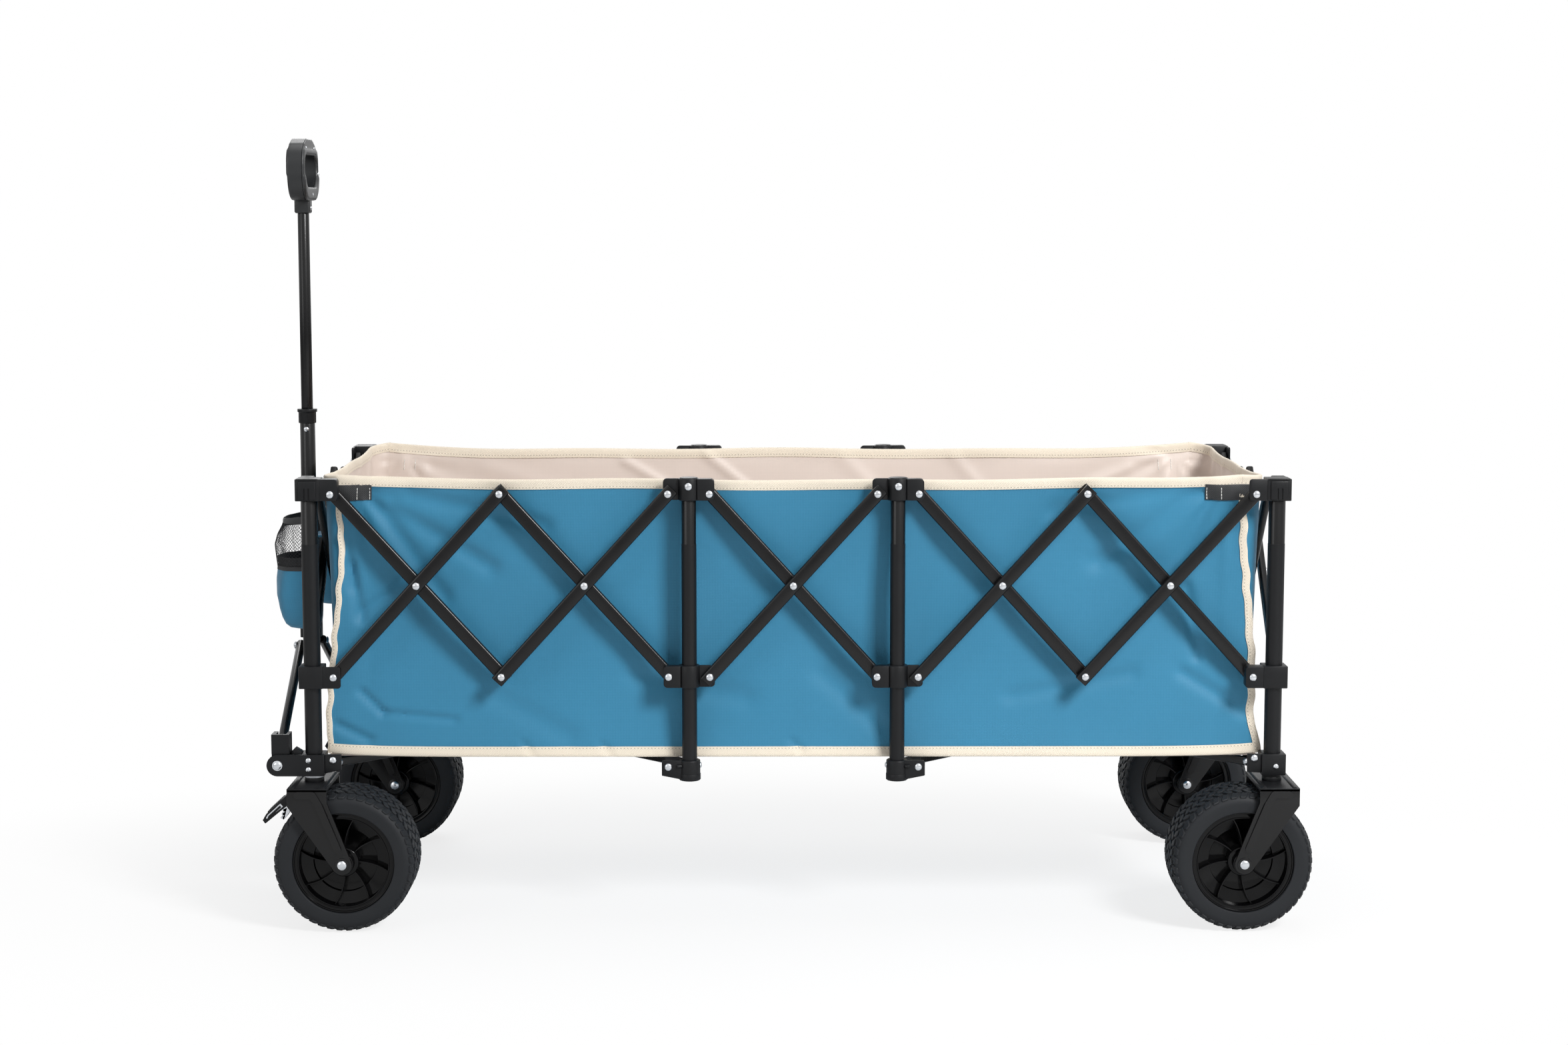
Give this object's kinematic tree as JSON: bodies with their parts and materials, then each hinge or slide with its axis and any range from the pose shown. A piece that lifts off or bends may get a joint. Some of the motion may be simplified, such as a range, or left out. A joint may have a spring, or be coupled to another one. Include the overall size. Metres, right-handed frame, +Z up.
{
  "type": "folding wagon",
  "caption": "Collapsible utility wagon: fabric bag in a folding scissor frame, wide swivel casters with foot brakes, and a telescoping pull handle that tips forward.",
  "frame": {"origin": "on the ground, under the middle of the overall box with the wagon open", "axes": "+X from the pull handle towards the rear, +Y from the near side to the far side, +Z up"},
  "size_m": [1.3572, 0.6032, 1.022],
  "materials": {
    "black_steel": "satin powder coat",
    "black_plastic": "matte moulded",
    "tyre_rubber": "matte",
    "blue_oxford": "woven, coated inside"
  },
  "bodies": {
    "frame_root": {"post_front_near": "black_steel", "bag": "blue_oxford"},
    "near_bar_1_falling": {"near_bar_1_falling": "black_steel"},
    "near_bar_1_rising": {"near_bar_1_rising": "black_steel"},
    "slider_front_near": {"slider_front_near": "black_plastic"},
    "near_bar_2_rising": {"near_bar_2_rising": "black_steel"},
    "near_bar_2_falling": {"near_bar_2_falling": "black_steel"},
    "slider_mid_front_near": {"slider_mid_front_near": "black_plastic"},
    "post_mid_front_near": {"post_mid_front_near": "black_steel"},
    "near_bar_3_falling": {"near_bar_3_falling": "black_steel"},
    "near_bar_3_rising": {"near_bar_3_rising": "black_steel"},
    "post_mid_rear_near": {"post_mid_rear_near": "black_steel"},
    "slider_mid_rear_near": {"slider_mid_rear_near": "black_plastic"},
    "near_bar_4_falling": {"near_bar_4_falling": "black_steel"},
    "near_bar_4_rising": {"near_bar_4_rising": "black_steel"},
    "near_bar_5_rising": {"near_bar_5_rising": "black_steel"},
    "near_bar_5_falling": {"near_bar_5_falling": "black_steel"},
    "slider_rear_near": {"slider_rear_near": "black_plastic"},
    "post_rear_near": {"post_rear_near": "black_steel"},
    "front_bar_1_falling": {"front_bar_1_falling": "black_steel"},
    "front_bar_1_rising": {"front_bar_1_rising": "black_steel"},
    "front_bar_2_rising": {"front_bar_2_rising": "black_steel"},
    "front_bar_2_falling": {"front_bar_2_falling": "black_steel"},
    "post_front_far": {"post_front_far": "black_steel"},
    "far_bar_1_falling": {"far_bar_1_falling": "black_steel"},
    "far_bar_1_rising": {"far_bar_1_rising": "black_steel"},
    "slider_front_far": {"slider_front_far": "black_plastic"},
    "far_bar_2_rising": {"far_bar_2_rising": "black_steel"},
    "far_bar_2_falling": {"far_bar_2_falling": "black_steel"},
    "slider_mid_front_far": {"slider_mid_front_far": "black_plastic"},
    "post_mid_front_far": {"post_mid_front_far": "black_steel"},
    "far_bar_3_falling": {"far_bar_3_falling": "black_steel"},
    "far_bar_3_rising": {"far_bar_3_rising": "black_steel"},
    "post_mid_rear_far": {"post_mid_rear_far": "black_steel"},
    "slider_mid_rear_far": {"slider_mid_rear_far": "black_plastic"},
    "far_bar_4_falling": {"far_bar_4_falling": "black_steel"},
    "far_bar_4_rising": {"far_bar_4_rising": "black_steel"},
    "far_bar_5_rising": {"far_bar_5_rising": "black_steel"},
    "far_bar_5_falling": {"far_bar_5_falling": "black_steel"},
    "slider_rear_far": {"slider_rear_far": "black_plastic"},
    "post_rear_far": {"post_rear_far": "black_steel"},
    "rear_bar_1_falling": {"rear_bar_1_falling": "black_steel"},
    "rear_bar_1_rising": {"rear_bar_1_rising": "black_steel"},
    "rear_bar_2_rising": {"rear_bar_2_rising": "black_steel"},
    "rear_bar_2_falling": {"rear_bar_2_falling": "black_steel"},
    "handle_block_near": {"handle_block_near": "black_plastic"},
    "handle_block_far": {"handle_block_far": "black_plastic"},
    "handle_rod_near": {"handle_rod_near": "black_steel"},
    "handle_outer_tube": {"handle_outer_tube": "black_steel"},
    "handle_rod_far": {"handle_rod_far": "black_steel"},
    "handle_inner_tube": {"handle_inner_tube": "black_steel", "handle_grip": "black_plastic"},
    "caster_fork_near": {"caster_fork_near": "black_steel"},
    "wheel_front_near": {"wheel_front_near": "tyre_rubber"},
    "brake_pedal_near": {"brake_pedal_near": "black_plastic"},
    "wheel_rear_near": {"wheel_rear_near": "tyre_rubber"},
    "caster_fork_far": {"caster_fork_far": "black_steel"},
    "wheel_front_far": {"wheel_front_far": "tyre_rubber"},
    "brake_pedal_far": {"brake_pedal_far": "black_plastic"},
    "wheel_rear_far": {"wheel_rear_far": "tyre_rubber"}
  },
  "joints": [
    {"name": "fold", "type": "hinge", "parent": "frame_root", "child": "near_bar_1_falling", "pos_m": [-0.58358, -0.24463, 0.565], "axis": [0, 1, 0], "range_deg": [0, 36.96], "deforming": ["bag"]},
    {"name": "near_bar_1_rising_fold", "type": "hinge", "parent": "near_bar_1_falling", "child": "near_bar_1_rising", "pos_m": [-0.47577, -0.24463, 0.44651], "axis": [0, 1, 0], "range_deg": [-74.92, 0]},
    {"name": "slider_front_near_fold", "type": "hinge", "parent": "near_bar_1_rising", "child": "slider_front_near", "pos_m": [-0.58358, -0.24463, 0.32802], "axis": [0, 1, 0], "range_deg": [0, 37.96]},
    {"name": "near_bar_2_rising_fold", "type": "hinge", "parent": "near_bar_1_falling", "child": "near_bar_2_rising", "pos_m": [-0.36795, -0.24463, 0.32802], "axis": [0, 1, 0], "range_deg": [-74.92, 0]},
    {"name": "near_bar_2_falling_fold", "type": "hinge", "parent": "near_bar_2_rising", "child": "near_bar_2_falling", "pos_m": [-0.26013, -0.24463, 0.44651], "axis": [0, 1, 0], "range_deg": [0, 74.92]},
    {"name": "slider_mid_front_near_fold", "type": "hinge", "parent": "near_bar_2_falling", "child": "slider_mid_front_near", "pos_m": [-0.15232, -0.24463, 0.32802], "axis": [0, 1, 0], "range_deg": [-37.96, 0]},
    {"name": "post_mid_front_near_fold", "type": "hinge", "parent": "near_bar_2_rising", "child": "post_mid_front_near", "pos_m": [-0.15232, -0.24463, 0.565], "axis": [0, 1, 0], "range_deg": [0, 37.96]},
    {"name": "near_bar_3_falling_fold", "type": "hinge", "parent": "post_mid_front_near", "child": "near_bar_3_falling", "pos_m": [-0.09932, -0.24463, 0.565], "axis": [0, 1, 0], "range_deg": [0, 37.96]},
    {"name": "near_bar_3_rising_fold", "type": "hinge", "parent": "near_bar_3_falling", "child": "near_bar_3_rising", "pos_m": [0.0085, -0.24463, 0.44651], "axis": [0, 1, 0], "range_deg": [-74.92, 0]},
    {"name": "post_mid_rear_near_fold", "type": "hinge", "parent": "near_bar_3_rising", "child": "post_mid_rear_near", "pos_m": [0.11632, -0.24463, 0.565], "axis": [0, 1, 0], "range_deg": [0, 37.96]},
    {"name": "slider_mid_rear_near_fold", "type": "hinge", "parent": "near_bar_3_falling", "child": "slider_mid_rear_near", "pos_m": [0.11632, -0.24463, 0.32802], "axis": [0, 1, 0], "range_deg": [-37.96, 0]},
    {"name": "near_bar_4_falling_fold", "type": "hinge", "parent": "post_mid_rear_near", "child": "near_bar_4_falling", "pos_m": [0.16932, -0.24463, 0.565], "axis": [0, 1, 0], "range_deg": [0, 37.96]},
    {"name": "near_bar_4_rising_fold", "type": "hinge", "parent": "near_bar_4_falling", "child": "near_bar_4_rising", "pos_m": [0.27713, -0.24463, 0.44651], "axis": [0, 1, 0], "range_deg": [-74.92, 0]},
    {"name": "near_bar_5_rising_fold", "type": "hinge", "parent": "near_bar_4_falling", "child": "near_bar_5_rising", "pos_m": [0.38495, -0.24463, 0.32802], "axis": [0, 1, 0], "range_deg": [-74.92, 0]},
    {"name": "near_bar_5_falling_fold", "type": "hinge", "parent": "near_bar_5_rising", "child": "near_bar_5_falling", "pos_m": [0.49277, -0.24463, 0.44651], "axis": [0, 1, 0], "range_deg": [0, 74.92]},
    {"name": "slider_rear_near_fold", "type": "hinge", "parent": "near_bar_5_falling", "child": "slider_rear_near", "pos_m": [0.60058, -0.24463, 0.32802], "axis": [0, 1, 0], "range_deg": [-37.96, 0]},
    {"name": "post_rear_near_fold", "type": "hinge", "parent": "near_bar_5_rising", "child": "post_rear_near", "pos_m": [0.60058, -0.24463, 0.565], "axis": [0, 1, 0], "range_deg": [0, 37.96]},
    {"name": "front_bar_1_falling_fold", "type": "hinge", "parent": "frame_root", "child": "front_bar_1_falling", "pos_m": [-0.61258, -0.21563, 0.565], "axis": [-1, 0, 0], "range_deg": [0, 37.96]},
    {"name": "front_bar_1_rising_fold", "type": "hinge", "parent": "front_bar_1_falling", "child": "front_bar_1_rising", "pos_m": [-0.61258, -0.10782, 0.44651], "axis": [-1, 0, 0], "range_deg": [-74.92, 0]},
    {"name": "front_bar_2_rising_fold", "type": "hinge", "parent": "front_bar_1_falling", "child": "front_bar_2_rising", "pos_m": [-0.61258, 0, 0.32802], "axis": [-1, 0, 0], "range_deg": [-74.92, 0]},
    {"name": "front_bar_2_falling_fold", "type": "hinge", "parent": "front_bar_2_rising", "child": "front_bar_2_falling", "pos_m": [-0.61258, 0.10782, 0.44651], "axis": [-1, 0, 0], "range_deg": [0, 74.92]},
    {"name": "post_front_far_fold", "type": "hinge", "parent": "front_bar_2_rising", "child": "post_front_far", "pos_m": [-0.61258, 0.21563, 0.565], "axis": [-1, 0, 0], "range_deg": [0, 37.96]},
    {"name": "far_bar_1_falling_fold", "type": "hinge", "parent": "post_front_far", "child": "far_bar_1_falling", "pos_m": [-0.58358, 0.24463, 0.565], "axis": [0, 1, 0], "range_deg": [0, 37.96]},
    {"name": "far_bar_1_rising_fold", "type": "hinge", "parent": "far_bar_1_falling", "child": "far_bar_1_rising", "pos_m": [-0.47577, 0.24463, 0.44651], "axis": [0, 1, 0], "range_deg": [-74.92, 0]},
    {"name": "slider_front_far_fold", "type": "hinge", "parent": "far_bar_1_rising", "child": "slider_front_far", "pos_m": [-0.58358, 0.24463, 0.32802], "axis": [0, 1, 0], "range_deg": [0, 37.96]},
    {"name": "far_bar_2_rising_fold", "type": "hinge", "parent": "far_bar_1_falling", "child": "far_bar_2_rising", "pos_m": [-0.36795, 0.24463, 0.32802], "axis": [0, 1, 0], "range_deg": [-74.92, 0]},
    {"name": "far_bar_2_falling_fold", "type": "hinge", "parent": "far_bar_2_rising", "child": "far_bar_2_falling", "pos_m": [-0.26013, 0.24463, 0.44651], "axis": [0, 1, 0], "range_deg": [0, 74.92]},
    {"name": "slider_mid_front_far_fold", "type": "hinge", "parent": "far_bar_2_falling", "child": "slider_mid_front_far", "pos_m": [-0.15232, 0.24463, 0.32802], "axis": [0, 1, 0], "range_deg": [-37.96, 0]},
    {"name": "post_mid_front_far_fold", "type": "hinge", "parent": "far_bar_2_rising", "child": "post_mid_front_far", "pos_m": [-0.15232, 0.24463, 0.565], "axis": [0, 1, 0], "range_deg": [0, 37.96]},
    {"name": "far_bar_3_falling_fold", "type": "hinge", "parent": "post_mid_front_far", "child": "far_bar_3_falling", "pos_m": [-0.09932, 0.24463, 0.565], "axis": [0, 1, 0], "range_deg": [0, 37.96]},
    {"name": "far_bar_3_rising_fold", "type": "hinge", "parent": "far_bar_3_falling", "child": "far_bar_3_rising", "pos_m": [0.0085, 0.24463, 0.44651], "axis": [0, 1, 0], "range_deg": [-74.92, 0]},
    {"name": "post_mid_rear_far_fold", "type": "hinge", "parent": "far_bar_3_rising", "child": "post_mid_rear_far", "pos_m": [0.11632, 0.24463, 0.565], "axis": [0, 1, 0], "range_deg": [0, 37.96]},
    {"name": "slider_mid_rear_far_fold", "type": "hinge", "parent": "far_bar_3_falling", "child": "slider_mid_rear_far", "pos_m": [0.11632, 0.24463, 0.32802], "axis": [0, 1, 0], "range_deg": [-37.96, 0]},
    {"name": "far_bar_4_falling_fold", "type": "hinge", "parent": "post_mid_rear_far", "child": "far_bar_4_falling", "pos_m": [0.16932, 0.24463, 0.565], "axis": [0, 1, 0], "range_deg": [0, 37.96]},
    {"name": "far_bar_4_rising_fold", "type": "hinge", "parent": "far_bar_4_falling", "child": "far_bar_4_rising", "pos_m": [0.27713, 0.24463, 0.44651], "axis": [0, 1, 0], "range_deg": [-74.92, 0]},
    {"name": "far_bar_5_rising_fold", "type": "hinge", "parent": "far_bar_4_falling", "child": "far_bar_5_rising", "pos_m": [0.38495, 0.24463, 0.32802], "axis": [0, 1, 0], "range_deg": [-74.92, 0]},
    {"name": "far_bar_5_falling_fold", "type": "hinge", "parent": "far_bar_5_rising", "child": "far_bar_5_falling", "pos_m": [0.49277, 0.24463, 0.44651], "axis": [0, 1, 0], "range_deg": [0, 74.92]},
    {"name": "slider_rear_far_fold", "type": "hinge", "parent": "far_bar_5_falling", "child": "slider_rear_far", "pos_m": [0.60058, 0.24463, 0.32802], "axis": [0, 1, 0], "range_deg": [-37.96, 0]},
    {"name": "post_rear_far_fold", "type": "hinge", "parent": "far_bar_5_rising", "child": "post_rear_far", "pos_m": [0.60058, 0.24463, 0.565], "axis": [0, 1, 0], "range_deg": [0, 37.96]},
    {"name": "rear_bar_1_falling_fold", "type": "hinge", "parent": "post_rear_near", "child": "rear_bar_1_falling", "pos_m": [0.62958, -0.21563, 0.565], "axis": [-1, 0, 0], "range_deg": [0, 37.96]},
    {"name": "rear_bar_1_rising_fold", "type": "hinge", "parent": "rear_bar_1_falling", "child": "rear_bar_1_rising", "pos_m": [0.62958, -0.10782, 0.44651], "axis": [-1, 0, 0], "range_deg": [-74.92, 0]},
    {"name": "rear_bar_2_rising_fold", "type": "hinge", "parent": "rear_bar_1_falling", "child": "rear_bar_2_rising", "pos_m": [0.62958, 0, 0.32802], "axis": [-1, 0, 0], "range_deg": [-74.92, 0]},
    {"name": "rear_bar_2_falling_fold", "type": "hinge", "parent": "rear_bar_2_rising", "child": "rear_bar_2_falling", "pos_m": [0.62958, 0.10782, 0.44651], "axis": [-1, 0, 0], "range_deg": [0, 74.92]},
    {"name": "handle_tilt", "type": "hinge", "parent": "frame_root", "child": "handle_block_near", "pos_m": [-0.65758, -0.24463, 0.2135], "axis": [0, -1, 0], "range_deg": [0, 95]},
    {"name": "handle_tilt_far", "type": "hinge", "parent": "post_front_far", "child": "handle_block_far", "pos_m": [-0.65758, 0.24463, 0.2135], "axis": [0, -1, 0], "range_deg": [0, 96]},
    {"name": "handle_rod_near_fold", "type": "hinge", "parent": "handle_block_near", "child": "handle_rod_near", "pos_m": [-0.65358, -0.24463, 0.2415], "axis": [1, 0, 0], "range_deg": [0, 60.01]},
    {"name": "handle_outer_tube_fold", "type": "hinge", "parent": "handle_rod_near", "child": "handle_outer_tube", "pos_m": [-0.66588, -0.0232, 0.333], "axis": [1, 0, 0], "range_deg": [-60.01, 0]},
    {"name": "handle_rod_far_fold", "type": "hinge", "parent": "handle_block_far", "child": "handle_rod_far", "pos_m": [-0.65358, 0.24463, 0.2415], "axis": [1, 0, 0], "range_deg": [-60.01, 0]},
    {"name": "handle_telescope", "type": "slide", "parent": "handle_outer_tube", "child": "handle_inner_tube", "axis": [0, 0, -1], "range_m": [0, 0.25]},
    {"name": "caster_swivel_near", "type": "hinge", "parent": "frame_root", "child": "caster_fork_near", "pos_m": [-0.61258, -0.24463, 0.2], "axis": [0, 0, 1], "continuous": true},
    {"name": "wheel_front_near_spin", "type": "hinge", "parent": "caster_fork_near", "child": "wheel_front_near", "pos_m": [-0.57058, -0.24463, 0.091], "axis": [0, 1, 0], "continuous": true},
    {"name": "brake_pedal_near_tip", "type": "hinge", "parent": "caster_fork_near", "child": "brake_pedal_near", "pos_m": [-0.63658, -0.24463, 0.176], "axis": [0, -1, 0], "range_deg": [0, 8]},
    {"name": "wheel_rear_near_spin", "type": "hinge", "parent": "post_rear_near", "child": "wheel_rear_near", "pos_m": [0.58758, -0.24463, 0.091], "axis": [0, 1, 0], "continuous": true},
    {"name": "caster_swivel_far", "type": "hinge", "parent": "post_front_far", "child": "caster_fork_far", "pos_m": [-0.61258, 0.24463, 0.2], "axis": [0, 0, 1], "continuous": true},
    {"name": "wheel_front_far_spin", "type": "hinge", "parent": "caster_fork_far", "child": "wheel_front_far", "pos_m": [-0.57058, 0.24463, 0.091], "axis": [0, 1, 0], "continuous": true},
    {"name": "brake_pedal_far_tip", "type": "hinge", "parent": "caster_fork_far", "child": "brake_pedal_far", "pos_m": [-0.63658, 0.24463, 0.176], "axis": [0, -1, 0], "range_deg": [0, 8]},
    {"name": "wheel_rear_far_spin", "type": "hinge", "parent": "post_rear_far", "child": "wheel_rear_far", "pos_m": [0.58758, 0.24463, 0.091], "axis": [0, 1, 0], "continuous": true}
  ],
  "couplings": [
    {"joint": "near_bar_1_rising_fold", "follows": "fold", "ratio": -2},
    {"joint": "slider_front_near_fold", "follows": "fold", "ratio": 1},
    {"joint": "near_bar_2_rising_fold", "follows": "fold", "ratio": -2},
    {"joint": "near_bar_2_falling_fold", "follows": "fold", "ratio": 2},
    {"joint": "slider_mid_front_near_fold", "follows": "fold", "ratio": -1},
    {"joint": "post_mid_front_near_fold", "follows": "fold", "ratio": 1},
    {"joint": "near_bar_3_falling_fold", "follows": "fold", "ratio": 1},
    {"joint": "near_bar_3_rising_fold", "follows": "fold", "ratio": -2},
    {"joint": "post_mid_rear_near_fold", "follows": "fold", "ratio": 1},
    {"joint": "slider_mid_rear_near_fold", "follows": "fold", "ratio": -1},
    {"joint": "near_bar_4_falling_fold", "follows": "fold", "ratio": 1},
    {"joint": "near_bar_4_rising_fold", "follows": "fold", "ratio": -2},
    {"joint": "near_bar_5_rising_fold", "follows": "fold", "ratio": -2},
    {"joint": "near_bar_5_falling_fold", "follows": "fold", "ratio": 2},
    {"joint": "slider_rear_near_fold", "follows": "fold", "ratio": -1},
    {"joint": "post_rear_near_fold", "follows": "fold", "ratio": 1},
    {"joint": "front_bar_1_falling_fold", "follows": "fold", "ratio": 1},
    {"joint": "front_bar_1_rising_fold", "follows": "fold", "ratio": -2},
    {"joint": "front_bar_2_rising_fold", "follows": "fold", "ratio": -2},
    {"joint": "front_bar_2_falling_fold", "follows": "fold", "ratio": 2},
    {"joint": "post_front_far_fold", "follows": "fold", "ratio": 1},
    {"joint": "far_bar_1_falling_fold", "follows": "fold", "ratio": 1},
    {"joint": "far_bar_1_rising_fold", "follows": "fold", "ratio": -2},
    {"joint": "slider_front_far_fold", "follows": "fold", "ratio": 1},
    {"joint": "far_bar_2_rising_fold", "follows": "fold", "ratio": -2},
    {"joint": "far_bar_2_falling_fold", "follows": "fold", "ratio": 2},
    {"joint": "slider_mid_front_far_fold", "follows": "fold", "ratio": -1},
    {"joint": "post_mid_front_far_fold", "follows": "fold", "ratio": 1},
    {"joint": "far_bar_3_falling_fold", "follows": "fold", "ratio": 1},
    {"joint": "far_bar_3_rising_fold", "follows": "fold", "ratio": -2},
    {"joint": "post_mid_rear_far_fold", "follows": "fold", "ratio": 1},
    {"joint": "slider_mid_rear_far_fold", "follows": "fold", "ratio": -1},
    {"joint": "far_bar_4_falling_fold", "follows": "fold", "ratio": 1},
    {"joint": "far_bar_4_rising_fold", "follows": "fold", "ratio": -2},
    {"joint": "far_bar_5_rising_fold", "follows": "fold", "ratio": -2},
    {"joint": "far_bar_5_falling_fold", "follows": "fold", "ratio": 2},
    {"joint": "slider_rear_far_fold", "follows": "fold", "ratio": -1},
    {"joint": "post_rear_far_fold", "follows": "fold", "ratio": 1},
    {"joint": "rear_bar_1_falling_fold", "follows": "fold", "ratio": 1},
    {"joint": "rear_bar_1_rising_fold", "follows": "fold", "ratio": -2},
    {"joint": "rear_bar_2_rising_fold", "follows": "fold", "ratio": -2},
    {"joint": "rear_bar_2_falling_fold", "follows": "fold", "ratio": 2},
    {"joint": "handle_tilt_far", "follows": "handle_tilt", "ratio": 1},
    {"joint": "handle_rod_near_fold", "follows": "fold", "ratio": 1.5964},
    {"joint": "handle_outer_tube_fold", "follows": "fold", "ratio": -1.5964},
    {"joint": "handle_rod_far_fold", "follows": "fold", "ratio": -1.5964}
  ]
}
